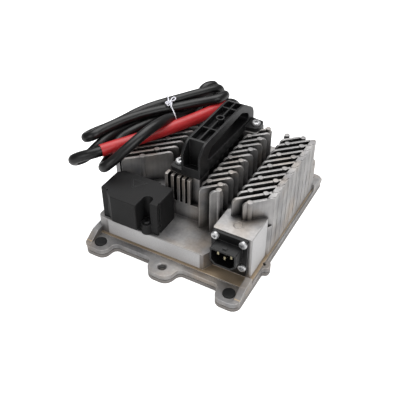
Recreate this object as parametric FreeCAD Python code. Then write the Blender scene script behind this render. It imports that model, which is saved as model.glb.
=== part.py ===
import FreeCAD, Part
import math
import os

from FreeCAD import Vector

os.makedirs("parts", exist_ok=True)

# Battery charger for a golf cart: a die-cast housing with diagonal cooling fins on a
# screwed-on base plate, a mains inlet, a covered terminal bay, a carrying handle and
# two battery leads that lie in a hank on the fins.
# Frame: X right along the front, Y towards the back, Z up. The origin is the centre of
# the footprint, on the surface that the charger stands on.

# Housing plan and levels
BODY_X = 173.0
BODY_Y = 179.3
FRONT = -BODY_Y / 2
FLANGE_X = 178.6
FLANGE_Y = BODY_Y + 18.7
PLATE_T = 4.2
GASKET_T = 0.8
FLANGE_TOP = 10.2
SHELF_Z = 31.3
FLOOR_Z = 50.0
FIN_TOP = 82.7
SHELF_DEPTH = 41.2
WALL = 4.5
ROOF_T = 5.0
SKIRT = 3.2
SKIRT_TOP = 11.6

# Feet, tabs and lugs of the flange
FOOT_HOLE_X = 75.0
FOOT_HOLE_Y = FLANGE_Y / 2 + 5.3
FOOT_HOLE_R = 5.2
FOOT_REACH = 11.7
FOOT_INNER = 11.3
TAB_HOLE_R = 4.25
TAB_HALF = 12.0
TAB_NECK = 17.0
TAB_CHAMFER = 1.0
LUG_Y = 52.0
LUG_REACH = 5.3
LUG_HALF = 6.0
LUG_HOLE_R = 1.7
LUG_HOLE_IN = 0.9
RIM_W = 6.5
RIM_TOP = 18.5
FOOT_ROUND = 9.0

# Fins
FIN_ANGLE = 43.5
FIN_PITCH = 11.5
FIN_T = 2.8
FIN_ROUND = 5.0
BANK_FRONT = -56.0
BANK_REAR = 77.0
RIGHT_BANK = (51.5, 86.5)
MIDDLE_BANK = (13.5, 37.0)
LEFT_BANK = (-86.5, -38.5)
CENTRE_BANK = (-31.0, 8.0)
SIDE_WALL = 6.0
SIDE_WALL_FRONT = -34.0
POST_R = 2.9
POST_RISE = 0.5

# Inlet block and inlet
BLOCK_X = (43.5, 84.3)
BLOCK_Y = FRONT + 11.05
BLOCK_TOP = 62.1
BLOCK_REAR = FRONT + 48.15
INLET_X = 62.7
INLET_Z = 42.0
INLET_PLATE = (38.4, 45.0)
INLET_PLATE_Z = 16.2
INLET_PLATE_T = 2.6
INLET_GASKET_T = 0.8
INLET_SCREW_X = 14.7
INLET_SCREW_Z = 14.9
SHROUD = (27.6, 20.6)
RECESS = (24.4, 16.6)
SHROUD_L = 13.6
RECESS_DEPTH = 16.0
RECESS_CORNER = 5.4
PIN_GAP_X = 7.0
PIN_EARTH = 4.0
PIN_SIZE = (2.0, 4.0)
PIN_TIP = 4.5
PIN_TAIL = 9.0

# Terminal cover
COVER_TOP = 70.0
COVER_X = (-80.5, -14.2)
COVER_Y = (FRONT + 2.85, FRONT + 35.35)
COVER_WALL = 2.2
COVER_EDGE = 0.8
BULGE_X = (-62.9, -33.4)
BULGE_OUT = 9.6
BULGE_SLANT = 11.5
BULGE_Z = 38.0
NICHE_X = (-33.4, -22.4)
NICHE_DEPTH = 10.5
COVER_SCREW_Z = 43.0
SCREW_BOSS_R = 6.2

# Handle
HANDLE_W = 21.0
HANDLE_Y = (-45.0, 79.5)
HANDLE_TOP = 118.5
HANDLE_SEAT = 83.0
HANDLE_WALL = 2.2
RAIL_TOP = 93.0
GRIP_UNDER = 107.5
HANDLE_FOOT_T = 5.0
HANDLE_SCREW = (18.5, 51.0)
HANDLE_MID_Y = 17.4
HANDLE_EAR = 24.5
CORE_DEPTH = 7.5
RIB_T = 1.5
RIB_PITCH = 22.0
GRIP_BOSS_R = 4.6

# Fasteners: pan-head machine screws
M4 = {"d": 4.0, "head_r": 4.1, "head_h": 2.8}
M5 = {"d": 5.0, "head_r": 4.9, "head_h": 3.2}
M3 = {"d": 3.0, "head_r": 2.8, "head_h": 2.0}

# Inside
CAVITY_X = 160.0
BOARD_FRONT = FRONT + SHELF_DEPTH + WALL + 4.95
BOARD_REAR = BODY_Y / 2 - WALL - 6.15
BOARD = (148.0, BOARD_REAR - BOARD_FRONT, 1.6)
BOARD_Z = 15.0
BOARD_Y = (BOARD_FRONT + BOARD_REAR) / 2
STANDOFF_R = 3.2

# Battery leads
LEAD_D = 11.0
LEAD_SEAT = 0.3
SLEEVE_WALL = 1.1
GLAND_X = {"negative": -42.0, "positive": -63.0}
GLAND_Z = 38.0
GLAND_OUT = 10.4
GLAND_NUT = (18.0, 4.5)
GLAND_NECK_R = 5.5
BOOT_R = 7.4
BOOT_L = 25.0
BOOT_WALL = 1.0
HANK_HEIGHT = 21.0
HANK_ENDS = (-91.0, 97.0)
HANK_FRONT = (-19.5, 8.0, 12.0)
HANK_REAR = (-17.0, 17.0, 15.5)
HANK_MID = (-83.0, 26.0)
HANK_ANGLE = 23.5
TIE_T = 1.3
TIE_W = 2.4
TIE_ALONG = 28.0
TIE_GAP = 0.5
LUG_BARREL = (4.9, 14.0)
LUG_PALM = (16.0, 2.6, 10.0)
LUG_BOLT_R = 4.2
POSITIVE_END = [
    (-102, -22, 92), (-108, -44, 70), (-134, -58, 66), (-127, -76, 86), (-105, -65, 88.5),
    (-93, -47.5, 89.7), (-79, -25, 90), (-61.5, 6, 90), (-46, 38, 90), (-32.5, 72, 90),
    (-29, 93, 89), (-25.5, 107, 81), (-24, 113, 67), (-24, 113, 53),
]
POSITIVE_LOOP = [
    (-74, 60, 93), (-64.5, 40, 97), (-62, 14, 105.5), (-64, -14, 107), (-71, -46, 99),
    (-88, -76, 82), (-100, -62, 66), (-95, -34, 71), (-92, -12, 90),
]
NEGATIVE_END = (-50.0, 111.0, 64.0)

# Name plates, left bare
FRONT_LABEL = (-74.0, 35.0, 12.4, 30.6)
SIDE_LABEL = (BLOCK_Y + 1.8, BLOCK_REAR - 1.5, 13.0, 60.6)
LABEL_T = 0.3


# A flat face bounded by straight runs and tangent arcs; a point is (x, y) or (x, y, radius).
def outline(points, place=lambda a, b: Vector(a, b, 0)):
    n = len(points)
    stations = []
    for i in range(n):
        here = points[i]
        p = Vector(here[0], here[1], 0)
        radius = here[2] if len(here) > 2 else 0.0
        if radius <= 0:
            stations.append((p, None, p))
            continue
        to_last = (Vector(points[i - 1][0], points[i - 1][1], 0) - p).normalize()
        to_next = (Vector(points[(i + 1) % n][0], points[(i + 1) % n][1], 0) - p).normalize()
        half = to_last.getAngle(to_next) / 2
        reach = radius / math.tan(half)
        centre = p + (to_last + to_next).normalize() * (radius / math.sin(half))
        inner = centre + (p - centre).normalize() * radius
        stations.append((p + to_last * reach, inner, p + to_next * reach))
    edges = []
    for i in range(n):
        start, inner, end = (None if q is None else place(q.x, q.y) for q in stations[i])
        if inner is not None:
            edges.append(Part.Arc(start, inner, end).toShape())
        following = stations[(i + 1) % n][0]
        following = place(following.x, following.y)
        if end.distanceToPoint(following) > 1e-6:
            edges.append(Part.LineSegment(end, following).toShape())
    return Part.Face(Part.Wire(edges))


def prism(points, z0, z1):
    return outline(points, lambda a, b: Vector(a, b, z0)).extrude(Vector(0, 0, z1 - z0))


# A profile drawn in Y and Z, pushed along X.
def side_prism(points, x0, x1):
    return outline(points, lambda a, b: Vector(x0, a, b)).extrude(Vector(x1 - x0, 0, 0))


# A profile drawn in X and Z, pushed along Y.
def front_prism(points, y0, y1):
    return outline(points, lambda a, b: Vector(a, y0, b)).extrude(Vector(0, y1 - y0, 0))


def rectangle(x0, x1, y0, y1, radius=0.0):
    return [(x0, y0, radius), (x1, y0, radius), (x1, y1, radius), (x0, y1, radius)]


def box(x0, x1, y0, y1, z0, z1):
    return Part.makeBox(x1 - x0, y1 - y0, z1 - z0, Vector(x0, y0, z0))


def disc(x, y, z0, z1, radius):
    return Part.makeCylinder(radius, z1 - z0, Vector(x, y, z0))


def rod_y(x, z, y0, y1, radius):
    return Part.makeCylinder(radius, y1 - y0, Vector(x, y0, z), Vector(0, 1, 0))


def fused(shapes):
    shapes = list(shapes)
    body = shapes[0] if len(shapes) == 1 else shapes[0].multiFuse(shapes[1:])
    return body.removeSplitter()


def mirrored_x(shape):
    return shape.mirror(Vector(0, 0, 0), Vector(1, 0, 0))


def mirrored_y(shape):
    return shape.mirror(Vector(0, 0, 0), Vector(0, 1, 0))


def corners(reach_x, reach_y):
    return [(sx * reach_x, sy * reach_y) for sx in (-1, 1) for sy in (-1, 1)]


# Plan of the flange that the casting and the base plate share: four feet, two mounting
# tabs in the middle of the short sides and a small lug on each long side.
def flange_plan():
    half_x = FLANGE_X / 2
    half_y = FLANGE_Y / 2
    tip = FOOT_HOLE_Y + FOOT_REACH
    foot = FOOT_HOLE_X - FOOT_INNER
    lug = half_x + LUG_REACH
    front_right = [
        (TAB_HALF, -tip, TAB_HALF - 1),
        (TAB_NECK, -half_y, 6),
        (foot - 3, -half_y, 6),
        (foot, -tip, FOOT_ROUND),
        (half_x, -tip, FOOT_ROUND),
        (half_x, -LUG_Y - LUG_HALF, 2),
        (lug, -LUG_Y - LUG_HALF + 1, 4.5),
        (lug, -LUG_Y + LUG_HALF - 1, 4.5),
        (half_x, -LUG_Y + LUG_HALF, 2),
    ]
    rear_right = [(x, -y, r) for x, y, r in reversed(front_right) if abs(y) > LUG_Y + LUG_HALF]
    right = front_right + rear_right
    left = [(-x, y, r) for x, y, r in reversed(right)]
    return right + left


def tab_holes():
    return [(0.0, -FOOT_HOLE_Y), (0.0, FOOT_HOLE_Y)]


def lug_holes():
    x = FLANGE_X / 2 - LUG_HOLE_IN
    return [(-x, -LUG_Y), (x, -LUG_Y)]


# Screws that hold the base plate up into the casting, round the edge of the flange.
def base_screw_places():
    x = (CAVITY_X / 2 + BODY_X / 2) / 2 + 0.4
    y = FLANGE_Y / 2 - 7.5
    along = [(sx * x, sy * 30.0 + 12.0) for sx in (-1, 1) for sy in (-1, 1)]
    across = [(sx * 45.0, sy * y) for sx in (-1, 1) for sy in (-1, 1)]
    return along + across


BASE_TOP = PLATE_T + GASKET_T
BASE_SCREW_L = BASE_TOP + 4.0


def open_holes(z0, z1):
    tools = [disc(x, y, z0, z1, FOOT_HOLE_R) for x, y in corners(FOOT_HOLE_X, FOOT_HOLE_Y)]
    tools += [disc(x, y, z0, z1, TAB_HOLE_R) for x, y in tab_holes()]
    tools += [disc(x, y, z0, z1, LUG_HOLE_R) for x, y in lug_holes()]
    return tools


def flange_holes(z0, z1, screw_r):
    return open_holes(z0, z1) + [disc(x, y, z0, z1, screw_r) for x, y in base_screw_places()]


# One diagonal fin, clipped to its bank: the free ends have round top corners.
def fin_ends(bank, y_ref, x_ref, front, rear):
    slope = math.tan(math.radians(FIN_ANGLE))
    x0 = max(bank[0], x_ref + (front - y_ref) / slope)
    x1 = min(bank[1], x_ref + (rear - y_ref) / slope)
    if x1 - x0 < 6.0:
        return None
    return (x0, y_ref + (x0 - x_ref) * slope), (x1, y_ref + (x1 - x_ref) * slope)


def fin(start, end, z0, z1, round_start, round_end):
    length = math.dist(start, end)
    heading = math.atan2(end[1] - start[1], end[0] - start[0])
    profile = [(0, z0), (length, z0), (length, z1, round_end), (0, z1, round_start)]
    blade = front_prism(profile, -FIN_T / 2, FIN_T / 2)
    blade.rotate(Vector(0, 0, 0), Vector(0, 0, 1), math.degrees(heading))
    blade.translate(Vector(start[0], start[1], 0))
    return blade


# All fins of a bank; `walled` says which side ends in the outer wall.
def bank_fins(bank, x_ref, y_first, count, z0, z1, front, rear, walled):
    fins = []
    for j in range(count):
        ends = fin_ends(bank, y_first + FIN_PITCH * j, x_ref, front, rear)
        if ends is None:
            continue
        start, end = ends
        round_start = 0.0 if walled == "left" and start[0] < bank[0] + 0.1 else FIN_ROUND
        round_end = 0.0 if walled == "right" and end[0] > bank[1] - 0.1 else FIN_ROUND
        fins.append(fin(start, end, z0, z1, round_start, round_end))
    return fins


def posts(x, y_first, count, z0):
    top = FIN_TOP + POST_RISE
    return [disc(x, y_first + 2 * FIN_PITCH * k, z0, top, POST_R) for k in range(count)]


# The lower body, the raised floor under the fins and the block behind the inlet.
def housing_mass():
    half_x = BODY_X / 2
    front = -BODY_Y / 2
    rear = BODY_Y / 2
    step = front + SHELF_DEPTH
    flange = prism(flange_plan(), BASE_TOP, FLANGE_TOP)
    skirt = prism(rectangle(-half_x - 1.5, half_x + 1.5, front - SKIRT, rear + SKIRT, 6),
                  BASE_TOP, SKIRT_TOP)
    inlet_bay = [
        (-half_x, front, 5), (BLOCK_X[0] - 5.0, front, 2), (BLOCK_X[0], BLOCK_Y),
        (BLOCK_X[1], BLOCK_Y, 1.5), (BLOCK_X[1], BLOCK_REAR), (half_x, BLOCK_REAR + 3),
        (half_x, rear, 6), (-half_x, rear, 6),
    ]
    lower = prism(inlet_bay, BASE_TOP, SHELF_Z)
    upper = prism([(-half_x, step, 3), (BLOCK_X[1], step), (BLOCK_X[1], BLOCK_REAR),
                   (half_x, BLOCK_REAR + 3), (half_x, rear, 6), (-half_x, rear, 6)],
                  SHELF_Z, FLOOR_Z)
    block = prism([(BLOCK_X[0], BLOCK_Y, 1.5), (BLOCK_X[1], BLOCK_Y, 1.5),
                   (BLOCK_X[1], BLOCK_REAR), (BLOCK_X[0] + 8, BLOCK_REAR), (BLOCK_X[0], step)],
                  SHELF_Z, BLOCK_TOP)
    return [flange, skirt, lower, upper, block]


# Outer side walls that close the fin gaps of the two outer banks.
def side_walls():
    right = prism(
        [(BODY_X / 2 - SIDE_WALL, SIDE_WALL_FRONT - SIDE_WALL), (BODY_X / 2, SIDE_WALL_FRONT),
         (BODY_X / 2, BANK_REAR + 3, 3), (BODY_X / 2 - SIDE_WALL, BANK_REAR)],
        FLOOR_Z, FIN_TOP)
    left = prism(
        [(-BODY_X / 2, BANK_FRONT + 4, 1.5), (-BODY_X / 2 + SIDE_WALL, BANK_FRONT + 4),
         (-BODY_X / 2 + SIDE_WALL, BANK_REAR), (-BODY_X / 2, BANK_REAR + 3, 3)],
        FLOOR_Z, FIN_TOP)
    return [right, left]


# Pads under the two handle feet, with upright ribs on the front one.
def handle_pads():
    sx, sy = HANDLE_SCREW
    front = prism(rectangle(-HANDLE_EAR, HANDLE_W / 2 - 1, HANDLE_Y[0] + 3, -22, 2), FLOOR_Z,
                  HANDLE_SEAT)
    rear = prism(rectangle(-HANDLE_W / 2 + 1, HANDLE_EAR, 57, HANDLE_Y[1] - 1, 2), FLOOR_Z,
                 HANDLE_SEAT)
    ribs = [box(x, x + 3.2, HANDLE_Y[0] - 3.5, HANDLE_Y[0] + 4, FLOOR_Z, FIN_TOP - 2.2)
            for x in (-28.0, -21.0, -14.0, -8.0, -2.0)]
    return [front, rear] + ribs


def all_fins():
    shapes = bank_fins(RIGHT_BANK, 61.0, -58.0, 15, FLOOR_Z, FIN_TOP, BANK_FRONT, BANK_REAR, "right")
    shapes += bank_fins(MIDDLE_BANK, 18.9, -64.0, 13, SHELF_Z, FIN_TOP, BANK_FRONT, BANK_REAR, "")
    shapes += bank_fins(LEFT_BANK, -55.5, -30.2, 13, FLOOR_Z, FIN_TOP, BANK_FRONT + 4, BANK_REAR,
                        "left")
    shapes += bank_fins(CENTRE_BANK, -12.0, -30.0, 12, FLOOR_Z, FIN_TOP - 2.2, -24.0, BANK_REAR, "")
    return shapes


def all_posts():
    shapes = posts(61.0, -35.0, 5, FLOOR_Z) + posts(76.2, -32.1, 5, FLOOR_Z)
    shapes += posts(18.9, -41.0, 5, FLOOR_Z) + posts(31.2, -40.8, 6, FLOOR_Z)
    shapes += posts(-55.5, -18.7, 5, FLOOR_Z) + posts(-77.5, -28.0, 5, FLOOR_Z)
    shapes += [disc(x, y, z0, FIN_TOP + POST_RISE, POST_R) for x, y, z0 in
               ((68.5, -51.9, FLOOR_Z), (33.9, -49.2, SHELF_Z), (-62.4, -36.6, FLOOR_Z),
                (71.8, 75.4, FLOOR_Z), (54.4, 72.0, FLOOR_Z))]
    return shapes


# Sloping rims that stand on the outer edge of each foot.
def foot_rims():
    edge = FLANGE_X / 2
    front = -BODY_Y / 2
    profile = [(front + 6, BASE_TOP), (front + 6, RIM_TOP), (front - 8, RIM_TOP - 0.8),
               (front - 19, FLANGE_TOP + 1.6), (front - 22, FLANGE_TOP), (front - 22, BASE_TOP)]
    rim = side_prism(profile, edge - RIM_W, edge)
    return [rim, mirrored_x(rim), mirrored_y(rim), mirrored_x(mirrored_y(rim))]


def cavity():
    half = CAVITY_X / 2
    front = -BODY_Y / 2 + WALL
    rear = BODY_Y / 2 - WALL
    step = -BODY_Y / 2 + SHELF_DEPTH + WALL
    low = prism([(-half, front, 4), (BLOCK_X[0] - 9, front, 4), (BLOCK_X[0] - 9, step),
                 (half, step, 4), (half, rear, 4), (-half, rear, 4)],
                BASE_TOP - 1, SHELF_Z - ROOF_T)
    high = prism(rectangle(-half, half, step, rear, 4), SHELF_Z - ROOF_T - 1, FLOOR_Z - ROOF_T)
    inlet_room = box(BLOCK_X[0] + WALL, BLOCK_X[1] - WALL, BLOCK_Y + WALL, step + 1,
                     BASE_TOP - 1, FLOOR_Z)
    return [low, high, inlet_room]


def housing():
    body = fused(housing_mass() + side_walls() + handle_pads() + foot_rims())
    body = body.multiFuse(all_fins() + all_posts())
    clear = prism(rectangle(-HANDLE_EAR - 0.6, HANDLE_EAR + 0.6, 56, BANK_REAR + 6), HANDLE_SEAT,
                  FIN_TOP + 5)
    tools = cavity() + open_holes(BASE_TOP - 1, FLANGE_TOP + 20)
    tools += [disc(x, y, BASE_TOP - 1, BASE_SCREW_L + 1, M4["d"] / 2) for x, y in base_screw_places()]
    tools += [Part.makeCone(TAB_HOLE_R, TAB_HOLE_R + TAB_CHAMFER, TAB_CHAMFER,
                            Vector(x, y, FLANGE_TOP - TAB_CHAMFER)) for x, y in tab_holes()]
    tools += [rod_y(INLET_X + dx, INLET_Z + dz, BLOCK_Y - 1, BLOCK_Y + 7, M4["d"] / 2)
              for dx, dz in corners(INLET_SCREW_X, INLET_SCREW_Z)]
    tools.append(front_prism(inlet_hole(0.4), BLOCK_Y - 1, BLOCK_Y + WALL + 1))
    tools += [disc(x, y, HANDLE_SEAT - 16, HANDLE_SEAT + 1, M5["d"] / 2) for x, y in handle_screws()]
    x, y = cover_screw_place()
    tools.append(disc(x, y, SHELF_Z - ROOF_T + 0.8, SHELF_Z + 1, M4["d"] / 2))
    tools += [disc(px, py, SHELF_Z - ROOF_T - 1, SHELF_Z + 1, STUD_HOLE_R) for px, py in stud_places()]
    tools += [rod_y(gx, GLAND_Z, BODY_Y / 2 - WALL - 1, BODY_Y / 2 + 1, GLAND_NECK_R)
              for gx in GLAND_X.values()]
    tools.append(clear)
    return body.cut(Part.makeCompound(tools)).removeSplitter()


# Base plate, its seal and its screws
def base_plate():
    plate = prism(flange_plan(), 0, PLATE_T)
    tools = flange_holes(-1, PLATE_T + 1, M4["d"] / 2)
    tools += [disc(x, y, -1, M4["head_h"] + 0.3, M4["head_r"] + 0.3) for x, y in base_screw_places()]
    return plate.cut(Part.makeCompound(tools))


def base_gasket():
    outer = prism(rectangle(-FLANGE_X / 2 + 1, FLANGE_X / 2 - 1, -FLANGE_Y / 2 + 1,
                            FLANGE_Y / 2 - 1, 5), PLATE_T, BASE_TOP)
    inner = prism(rectangle(-CAVITY_X / 2, CAVITY_X / 2, -BODY_Y / 2 + WALL, BODY_Y / 2 - WALL, 4),
                  PLATE_T - 1, BASE_TOP + 1)
    feet = [disc(x, y, PLATE_T, BASE_TOP, FOOT_HOLE_R + 4.5)
            for x, y in corners(FOOT_HOLE_X, FOOT_HOLE_Y)]
    feet += [disc(x, y, PLATE_T, BASE_TOP, TAB_HALF - 2) for x, y in tab_holes()]
    body = fused([outer.cut(inner)] + feet)
    return body.cut(Part.makeCompound(flange_holes(PLATE_T - 1, BASE_TOP + 1, M4["d"] / 2)))


# A pan-head screw along +Z with its head above z = 0 and its shank below.
def pan_screw(size, length):
    r = size["head_r"]
    h = size["head_h"]
    head = Part.makeCylinder(r, h)
    top = [e for e in head.Edges if abs(e.CenterOfMass.z - h) < 1e-6]
    head = head.makeFillet(h * 0.45, top)
    slot = 0.32 * r
    drive = fused([box(-r * 0.5, r * 0.5, -slot / 2, slot / 2, h * 0.45, h + 1),
                   box(-slot / 2, slot / 2, -r * 0.5, r * 0.5, h * 0.45, h + 1)])
    shank = Part.makeCylinder(size["d"] / 2, length, Vector(0, 0, -length))
    return head.fuse(shank).cut(drive).removeSplitter()


def placed(shape, x, y, z, turn=None):
    copy = shape.copy()
    if turn is not None:
        copy.rotate(Vector(0, 0, 0), turn[0], turn[1])
    copy.translate(Vector(x, y, z))
    return copy


def base_screws():
    screw = pan_screw(M4, BASE_SCREW_L - M4["head_h"])
    down = (Vector(1, 0, 0), 180)
    return [placed(screw, x, y, M4["head_h"] + 0.3, down) for x, y in base_screw_places()]


# Rubber plugs that close the four foot holes from above.
def foot_plugs():
    plugs = []
    for x, y in corners(FOOT_HOLE_X, FOOT_HOLE_Y):
        head = disc(x, y, FLANGE_TOP, FLANGE_TOP + 1.6, FOOT_HOLE_R + 1.3)
        top = [e for e in head.Edges if abs(e.CenterOfMass.z - FLANGE_TOP - 1.6) < 1e-6]
        stem = disc(x, y, 0.6, FLANGE_TOP, FOOT_HOLE_R)
        plugs.append(head.makeFillet(1.0, top).fuse(stem).removeSplitter())
    return plugs


# Mains inlet: a moulded plate with a shroud round three pins.
def inlet_shape(width, height, cut):
    w = width / 2
    h = height / 2
    return [(INLET_X - w, INLET_Z + h, 1.2), (INLET_X - w, INLET_Z - h + cut, 0.8),
            (INLET_X - w + cut, INLET_Z - h, 0.8), (INLET_X + w - cut, INLET_Z - h, 0.8),
            (INLET_X + w, INLET_Z - h + cut, 0.8), (INLET_X + w, INLET_Z + h, 1.2)]


def inlet_hole(gap):
    return inlet_shape(SHROUD[0] + 2 * gap, SHROUD[1] + 2 * gap, RECESS_CORNER)


def inlet_plate_outline(radius):
    x0 = INLET_X - INLET_PLATE[0] / 2
    return rectangle(x0, x0 + INLET_PLATE[0], INLET_PLATE_Z, INLET_PLATE_Z + INLET_PLATE[1], radius)


PLATE_BACK = BLOCK_Y - INLET_GASKET_T
PLATE_FRONT = PLATE_BACK - INLET_PLATE_T
SHROUD_FRONT = PLATE_FRONT - SHROUD_L
RECESS_END = SHROUD_FRONT + RECESS_DEPTH
INLET_REAR = RECESS_END + 3.0


def inlet_body():
    plate = front_prism(inlet_plate_outline(2.0), PLATE_FRONT, PLATE_BACK)
    shroud = front_prism(inlet_shape(SHROUD[0], SHROUD[1], RECESS_CORNER), SHROUD_FRONT, INLET_REAR)
    lug = box(INLET_X - 2.2, INLET_X + 2.2, SHROUD_FRONT + 3, SHROUD_FRONT + 6,
              INLET_Z + SHROUD[1] / 2 - 0.5, INLET_Z + SHROUD[1] / 2 + 1.2)
    recess = front_prism(inlet_shape(RECESS[0], RECESS[1], RECESS_CORNER - 1.2), SHROUD_FRONT - 1,
                         RECESS_END)
    holes = [rod_y(INLET_X + dx, INLET_Z + dz, PLATE_FRONT - 1, PLATE_BACK + 1, M4["d"] / 2)
             for dx, dz in corners(INLET_SCREW_X, INLET_SCREW_Z)]
    body = fused([plate, shroud, lug])
    slots = [pin(x, z, 0.0) for x, z in pin_places()]
    return body.cut(Part.makeCompound([recess] + holes + slots))


def inlet_gasket():
    sheet = front_prism(inlet_plate_outline(2.0), PLATE_BACK, BLOCK_Y)
    holes = [rod_y(INLET_X + dx, INLET_Z + dz, PLATE_BACK - 1, BLOCK_Y + 1, M4["d"] / 2)
             for dx, dz in corners(INLET_SCREW_X, INLET_SCREW_Z)]
    return sheet.cut(Part.makeCompound(holes + [front_prism(inlet_hole(0.0), PLATE_BACK - 1,
                                                            BLOCK_Y + 1)]))


def pin_places():
    return [(INLET_X - PIN_GAP_X, INLET_Z + PIN_EARTH / 2), (INLET_X, INLET_Z - PIN_EARTH / 2),
            (INLET_X + PIN_GAP_X, INLET_Z + PIN_EARTH / 2)]


def pin(x, z, trim):
    w = PIN_SIZE[0] / 2 - trim
    h = PIN_SIZE[1] / 2 - trim
    return box(x - w, x + w, SHROUD_FRONT + PIN_TIP, INLET_REAR + PIN_TAIL, z - h, z + h)


def inlet_screws():
    screw = pan_screw(M4, PLATE_BACK - PLATE_FRONT + INLET_GASKET_T + 5.5)
    out = (Vector(1, 0, 0), 90)
    return [placed(screw, INLET_X + dx, PLATE_FRONT, INLET_Z + dz, out)
            for dx, dz in corners(INLET_SCREW_X, INLET_SCREW_Z)]


# Terminal cover: a moulded shell with a slanted corner, a bulged front and a screw niche.
def cover_plan(inset):
    x0, x1 = COVER_X
    y0, y1 = COVER_Y
    i = inset
    return [
        (x0 + i, y0 + i, 0.6), (BULGE_X[0] - BULGE_SLANT, y0 + i, 0.6),
        (BULGE_X[0], y0 - BULGE_OUT + i, 1.5), (BULGE_X[1] - i, y0 - BULGE_OUT + i, 1.2),
        (BULGE_X[1] - i, y0 + i, 0.4), (x1 - i, y0 + i, 1.2), (x1 - i, y1 - i, 1.0),
        (x1 - i - 15.5, y1 - i, 0.6), (x1 - i - 17.0, y1 + 2.0 - i, 0.6),
        (x0 + i + 6.0, y1 + 2.0 - i, 1.5), (x0 + i, y1 - 4.0 - i, 0.6),
    ]


def cover_base_plan(inset):
    x0, x1 = COVER_X
    y0, y1 = COVER_Y
    i = inset
    return [(x0 + i, y0 + i, 0.6), (x1 - i, y0 + i, 1.2), (x1 - i, y1 - i, 1.0),
            (x1 - i - 15.5, y1 - i, 0.6), (x1 - i - 17.0, y1 + 2.0 - i, 0.6),
            (x0 + i + 6.0, y1 + 2.0 - i, 1.5), (x0 + i, y1 - 4.0 - i, 0.6)]


# The lid's bevelled edge, as a ruled loft between two outlines.
def cover_lid_edge():
    low = outline(cover_plan(0), lambda a, b: Vector(a, b, COVER_TOP - COVER_EDGE))
    high = outline(cover_plan(COVER_EDGE * 0.8), lambda a, b: Vector(a, b, COVER_TOP))
    return Part.makeLoft([low.OuterWire, high.OuterWire], True, True)


def cover_screw_place():
    return (NICHE_X[0] + NICHE_X[1]) / 2, COVER_Y[0] + 1.2


def terminal_cover():
    w = COVER_WALL
    outer = fused([prism(cover_plan(0), BULGE_Z, COVER_TOP - COVER_EDGE), cover_lid_edge()])
    skirt = prism(cover_base_plan(0), SHELF_Z, BULGE_Z)
    inner = prism(cover_plan(w), BULGE_Z + w, COVER_TOP - w)
    inner_skirt = prism(cover_base_plan(w), SHELF_Z - 1, BULGE_Z + w)
    x, y = cover_screw_place()
    half = (NICHE_X[1] - NICHE_X[0]) / 2
    niche = prism([(NICHE_X[0], y - 14), (NICHE_X[1], y - 14), (NICHE_X[1], COVER_Y[0] + NICHE_DEPTH,
                   half - 0.2), (NICHE_X[0], COVER_Y[0] + NICHE_DEPTH, half - 0.2)],
                  COVER_SCREW_Z, COVER_TOP + 1)
    niche_wall = prism(
        [(NICHE_X[0] - w, COVER_Y[0] + w / 2), (NICHE_X[1] + w, COVER_Y[0] + w / 2),
         (NICHE_X[1] + w, COVER_Y[0] + NICHE_DEPTH + w, half + w - 0.2),
         (NICHE_X[0] - w, COVER_Y[0] + NICHE_DEPTH + w, half + w - 0.2)], COVER_SCREW_Z - w,
        COVER_TOP - w)
    boss = disc(x, y, SHELF_Z, COVER_SCREW_Z, SCREW_BOSS_R)
    body = fused([outer, skirt]).cut(fused([inner, inner_skirt]))
    body = fused([body, niche_wall, boss])
    slots = [
        box(COVER_X[1] - 1.4, COVER_X[1] + 1, COVER_Y[0] + 3.0, COVER_Y[0] + 5.6, 46, COVER_TOP + 1),
        box(COVER_X[1] - 1.4, COVER_X[1] + 1, COVER_Y[0] + 2.6, COVER_Y[0] + 6.6, 39.5, 42.5),
        box(COVER_X[1] - 1.4, COVER_X[1] + 1, COVER_Y[0] + 1.8, COVER_Y[0] + 5.2, SHELF_Z - 1, 36),
    ]
    left_slot = box(-1.3, 1.3, -1.3, 1.3, 51, COVER_TOP + 1)
    left_slot.rotate(Vector(0, 0, 0), Vector(0, 0, 1), -40)
    left_slot.translate(Vector(BULGE_X[0] - BULGE_SLANT + 2.2, COVER_Y[0] - 1.2, 0))
    screw_hole = disc(x, y, SHELF_Z - 1, COVER_SCREW_Z + 1, M4["d"] / 2)
    body = body.cut(Part.makeCompound([niche, screw_hole, left_slot] + slots))
    mark = lid_triangle()
    return fused([body, mark])


# A plain raised triangle in the middle of the lid.
def lid_triangle():
    front = COVER_Y[0]
    points = [(-60.5, front + 26.6, 1.0), (-51.5, front + 12.3, 1.0), (-41.0, front + 27.3, 1.0)]
    inner = [(-57.8, front + 25.2, 0.6), (-51.6, front + 15.2, 0.6), (-44.2, front + 25.6, 0.6)]
    ring = prism(points, COVER_TOP - 0.5, COVER_TOP + 0.5)
    return ring.cut(prism(inner, COVER_TOP - 1, COVER_TOP + 1))


def cover_screw():
    x, y = cover_screw_place()
    return [placed(pan_screw(M4, COVER_SCREW_Z - SHELF_Z + 3.5), x, y, COVER_SCREW_Z)]


# Terminal block with two studs under the cover
BLOCK_H = 9.0
STUD_R = 3.0
STUD_HOLE_R = STUD_R + 1.2
STUD_GAP = 26.0
STUD_Y = FRONT + 21.65
STUD_MID_X = -56.0
STUD_TOP = 58.0


def stud_places():
    return [(STUD_MID_X - STUD_GAP / 2, STUD_Y), (STUD_MID_X + STUD_GAP / 2, STUD_Y)]


def terminal_block():
    x0 = STUD_MID_X - STUD_GAP / 2 - 8.5
    x1 = STUD_MID_X + STUD_GAP / 2 + 8.5
    base = prism(rectangle(x0, x1, STUD_Y - 9, STUD_Y + 9, 2), SHELF_Z, SHELF_Z + BLOCK_H)
    fence = box(STUD_MID_X - 1.2, STUD_MID_X + 1.2, STUD_Y - 9, STUD_Y + 9, SHELF_Z, SHELF_Z + 20)
    holes = [disc(x, y, SHELF_Z - 1, SHELF_Z + BLOCK_H + 1, STUD_R) for x, y in stud_places()]
    return base.fuse(fence).cut(Part.makeCompound(holes)).removeSplitter()


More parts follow.
